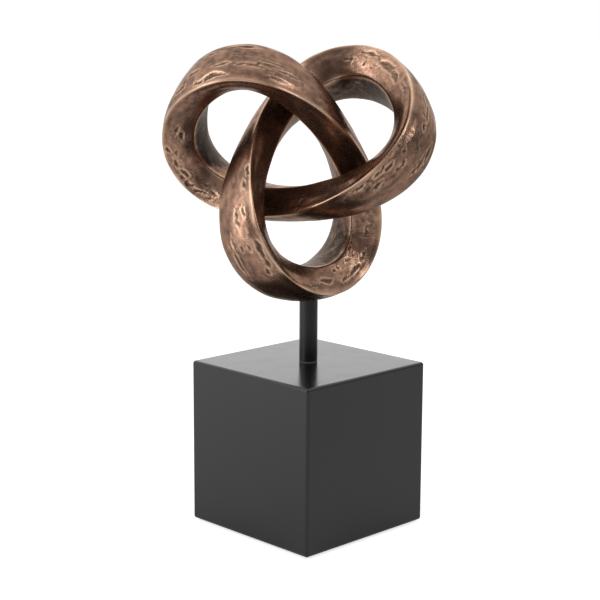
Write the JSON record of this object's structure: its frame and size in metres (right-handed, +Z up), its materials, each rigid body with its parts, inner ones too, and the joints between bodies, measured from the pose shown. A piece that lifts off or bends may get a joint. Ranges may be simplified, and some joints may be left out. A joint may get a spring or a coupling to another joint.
{
  "type": "knot sculpture",
  "caption": "Table ornament: a cast trefoil knot with an antique-bronze finish that turns on a slim black stem above a black lacquered cube.",
  "frame": {"origin": "centre of the underside of the felt, on the stem's axis", "axes": "+Z up along the stem, -Y the front that the knot faces, +X to the right seen from the front"},
  "size_m": [0.188, 0.16, 0.3338],
  "materials": {
    "bronze_finish": "cast, patinated antique bronze, ridges polished",
    "black_steel": "satin black",
    "zinc_steel": "zinc plated",
    "nylon": "natural",
    "black_lacquer": "black gloss lacquer over fibreboard",
    "felt": "pressed felt"
  },
  "bodies": {
    "base": {"cube_base": "black_lacquer", "felt_sheet": "felt", "slip_washer": "nylon"},
    "sculpture": {"knot": "bronze_finish", "stem_tube": "black_steel", "threaded_rod": "zinc_steel", "flat_washer": "zinc_steel", "spring_washer": "zinc_steel", "hex_nut": "zinc_steel"}
  },
  "joints": [
    {"name": "knot_swivel", "type": "hinge", "parent": "base", "child": "sculpture", "pos_m": [0, 0, 0.1158], "axis": [0, 0, 1], "continuous": true}
  ]
}
